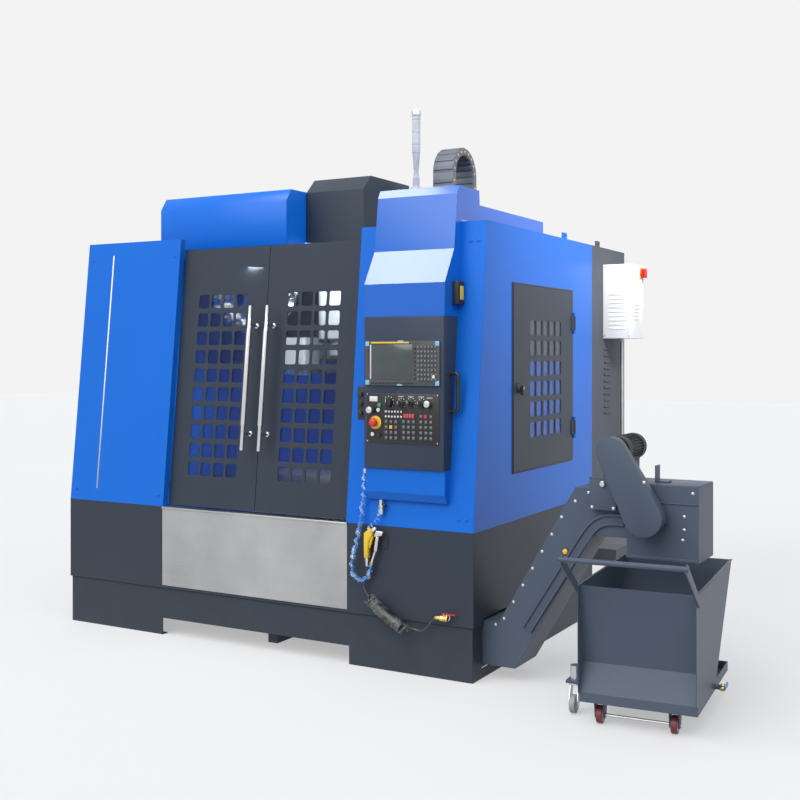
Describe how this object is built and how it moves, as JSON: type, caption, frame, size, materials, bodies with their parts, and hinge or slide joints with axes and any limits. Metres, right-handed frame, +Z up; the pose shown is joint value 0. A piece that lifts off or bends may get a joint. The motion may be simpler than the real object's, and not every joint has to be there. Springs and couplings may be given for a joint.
{
  "type": "cnc machining center",
  "caption": "Vertical machining center with sliding doors, side door, operator console, tool magazine, chip conveyor and a wheeled chip cart.",
  "frame": {"origin": "on the floor under the middle of the machine's base", "axes": "+X to the machine's right seen by the operator, +Y to the back, +Z up"},
  "size_m": [3.7588, 2.8377, 2.83],
  "materials": {
    "blue_paint": "satin vivid blue paint",
    "slate_paint": "satin dark slate grey paint",
    "grey_paint": "satin mid grey paint",
    "white_paint": "satin white paint",
    "cast_paint": "painted casting",
    "machined_iron": "ground",
    "ground_steel": "ground",
    "stainless": "satin brushed",
    "silver_handle": "satin anodised",
    "window_glass": "clear polycarbonate, lightly tinted",
    "console_paint": "satin grey paint",
    "panel_plastic": "matte moulded",
    "black_plastic": "matte black",
    "red_plastic": "gloss red",
    "lever_blue": "gloss blue sleeve",
    "motor_paint": "dark motor paint",
    "zinc_steel": "zinc plated",
    "hose_blue": "gloss polyurethane",
    "hose_black": "matte",
    "maroon_wheel": "matte nylon",
    "lamp_shell": "silver white lens",
    "gun_yellow": "gloss yellow",
    "gear_beige": "matte"
  },
  "bodies": {
    "machine": {"machine_bed": "cast_paint", "column": "cast_paint", "cam_box": "cast_paint", "axis_motors": "black_plastic", "base_skirt": "slate_paint", "stainless_front": "stainless", "blue_enclosure": "blue_paint", "rear_shell": "grey_paint", "cabinet_gear": "gear_beige", "work_guards": "stainless", "conveyor_casing": "slate_paint", "conveyor_belt": "zinc_steel", "belt_guard": "slate_paint", "conveyor_motor": "motor_paint", "coolant_tank": "grey_paint", "console_housing": "console_paint", "control_panel": "panel_plastic", "console_cowl": "blue_paint", "grab_handle": "black_plastic", "tower_light": "lamp_shell", "magazine_housing": "blue_paint", "supply_box": "white_paint", "hand_pendant": "black_plastic", "wash_guns": "gun_yellow", "hose_fittings": "zinc_steel", "spring_hose": "hose_blue", "curly_hose": "hose_black", "side_conduit": "zinc_steel", "cable_chain": "black_plastic"},
    "left_leaf": {"left_door": "slate_paint", "left_door_glass": "window_glass", "left_handle": "silver_handle"},
    "right_leaf": {"right_door": "slate_paint", "right_door_glass": "window_glass", "right_handle": "silver_handle"},
    "side_leaf": {"side_door": "slate_paint", "side_door_glass": "window_glass"},
    "cabinet_leaf": {"cabinet_door": "grey_paint"},
    "saddle_slide": {"saddle": "cast_paint"},
    "table_slide": {"work_table": "machined_iron"},
    "x_screw_shaft": {"x_screw": "ground_steel"},
    "y_screw_shaft": {"y_screw": "ground_steel"},
    "z_screw_shaft": {"z_screw": "ground_steel"},
    "head_slide": {"spindle_head": "cast_paint", "head_shroud": "slate_paint", "chain_leg": "black_plastic"},
    "spindle_shaft": {"spindle": "ground_steel"},
    "magazine_disc": {"tool_disc": "ground_steel"},
    "tool_arm": {"change_arm": "ground_steel"},
    "stop_button": {"estop_button": "red_plastic"},
    "feed_dial": {"override_dial": "black_plastic"},
    "isolator_knob": {"main_switch": "black_plastic"},
    "conveyor_shaft": {"drive_shaft": "ground_steel"},
    "hose_tap": {"valve_handle": "red_plastic"},
    "cart": {"cart_body": "slate_paint"},
    "front_axle": {"cart_front_wheels": "maroon_wheel"},
    "rear_axle": {"cart_rear_wheels": "maroon_wheel"},
    "caster_fork": {"brake_fork": "zinc_steel"},
    "caster_wheel": {"brake_wheel": "maroon_wheel"},
    "drain_tap": {"drain_lever": "lever_blue"}
  },
  "joints": [
    {"name": "left_door_slide", "type": "slide", "parent": "machine", "child": "left_leaf", "axis": [-1, 0, 0], "range_m": [0, 0.48]},
    {"name": "right_door_slide", "type": "slide", "parent": "machine", "child": "right_leaf", "axis": [1, 0, 0], "range_m": [0, 0.48]},
    {"name": "side_door_hinge", "type": "hinge", "parent": "machine", "child": "side_leaf", "pos_m": [1.312, 0.184, 1.4], "axis": [0, 0, 1], "range_deg": [0, 100]},
    {"name": "cabinet_door_hinge", "type": "hinge", "parent": "machine", "child": "cabinet_leaf", "pos_m": [1.294, 1.134, 1.4], "axis": [0, 0, -1], "range_deg": [0, 110]},
    {"name": "saddle_y", "type": "slide", "parent": "machine", "child": "saddle_slide", "axis": [0, 1, 0], "range_m": [-0.25, 0.25]},
    {"name": "table_x", "type": "slide", "parent": "saddle_slide", "child": "table_slide", "axis": [1, 0, 0], "range_m": [-0.4, 0.4]},
    {"name": "head_z", "type": "slide", "parent": "machine", "child": "head_slide", "axis": [0, 0, 1], "range_m": [-0.5, 0], "deforming": ["chain_leg"]},
    {"name": "x_screw_turn", "type": "hinge", "parent": "saddle_slide", "child": "x_screw_shaft", "pos_m": [0, -0.15, 0.69], "axis": [1, 0, 0], "range_deg": [-7300, 7300]},
    {"name": "y_screw_turn", "type": "hinge", "parent": "machine", "child": "y_screw_shaft", "pos_m": [0, 0, 0.46], "axis": [0, 1, 0], "range_deg": [-4600, 4600]},
    {"name": "z_screw_turn", "type": "hinge", "parent": "machine", "child": "z_screw_shaft", "pos_m": [0, 0.385, 1.7], "axis": [0, 0, 1], "range_deg": [-9100, 10]},
    {"name": "spindle_turn", "type": "hinge", "parent": "head_slide", "child": "spindle_shaft", "pos_m": [0, -0.15, 1.57], "axis": [0, 0, 1], "continuous": true},
    {"name": "disc_turn", "type": "hinge", "parent": "machine", "child": "magazine_disc", "pos_m": [-0.7, -0.18, 2.02], "axis": [0, 1, 0], "continuous": true},
    {"name": "arm_turn", "type": "hinge", "parent": "machine", "child": "tool_arm", "pos_m": [-0.34, -0.15, 1.445], "axis": [0, 0, 1], "range_deg": [0, 180]},
    {"name": "stop_press", "type": "slide", "parent": "machine", "child": "stop_button", "axis": [0, 1, 0], "range_m": [0, 0.006], "stiffness_N_per_m": 600},
    {"name": "dial_turn", "type": "hinge", "parent": "machine", "child": "feed_dial", "pos_m": [0.868, -1.18, 1.319], "axis": [0, 1, 0], "range_deg": [-135, 135]},
    {"name": "isolator_turn", "type": "hinge", "parent": "machine", "child": "isolator_knob", "pos_m": [1.49, 0.92, 2.05], "axis": [1, 0, 0], "range_deg": [0, 90]},
    {"name": "conveyor_turn", "type": "hinge", "parent": "machine", "child": "conveyor_shaft", "pos_m": [2.107, -0.9, 0.838], "axis": [0, 1, 0], "continuous": true},
    {"name": "tap_turn", "type": "hinge", "parent": "machine", "child": "hose_tap", "pos_m": [1.16, -1.15, 0.32], "axis": [0, 0, -1], "range_deg": [0, 90]},
    {"name": "cart_roll", "type": "slide", "parent": "machine", "child": "cart", "axis": [0.0732, -0.9973, 0], "range_m": [0, 0.6]},
    {"name": "front_axle_turn", "type": "hinge", "parent": "cart", "child": "front_axle", "pos_m": [2.15955, -1.34133, 0.038], "axis": [0.9973, 0.0732, 0], "continuous": true},
    {"name": "rear_axle_turn", "type": "hinge", "parent": "cart", "child": "rear_axle", "pos_m": [2.11458, -0.72898, 0.038], "axis": [0.9973, 0.0732, 0], "continuous": true},
    {"name": "caster_swivel", "type": "hinge", "parent": "cart", "child": "caster_fork", "pos_m": [1.85599, -1.24932, 0.14], "axis": [0, 0, 1], "continuous": true},
    {"name": "caster_turn", "type": "hinge", "parent": "caster_fork", "child": "caster_wheel", "pos_m": [1.85827, -1.28023, 0.04], "axis": [0.9973, 0.0732, 0], "continuous": true},
    {"name": "drain_turn", "type": "hinge", "parent": "cart", "child": "drain_tap", "pos_m": [2.43428, -0.98626, 0.116], "axis": [0.9973, 0.0732, 0], "range_deg": [0, 90]}
  ],
  "couplings": [
    {"joint": "x_screw_turn", "follows": "table_x", "rad_per_m": 314.16},
    {"joint": "y_screw_turn", "follows": "saddle_y", "rad_per_m": 314.16},
    {"joint": "z_screw_turn", "follows": "head_z", "rad_per_m": 314.16}
  ]
}
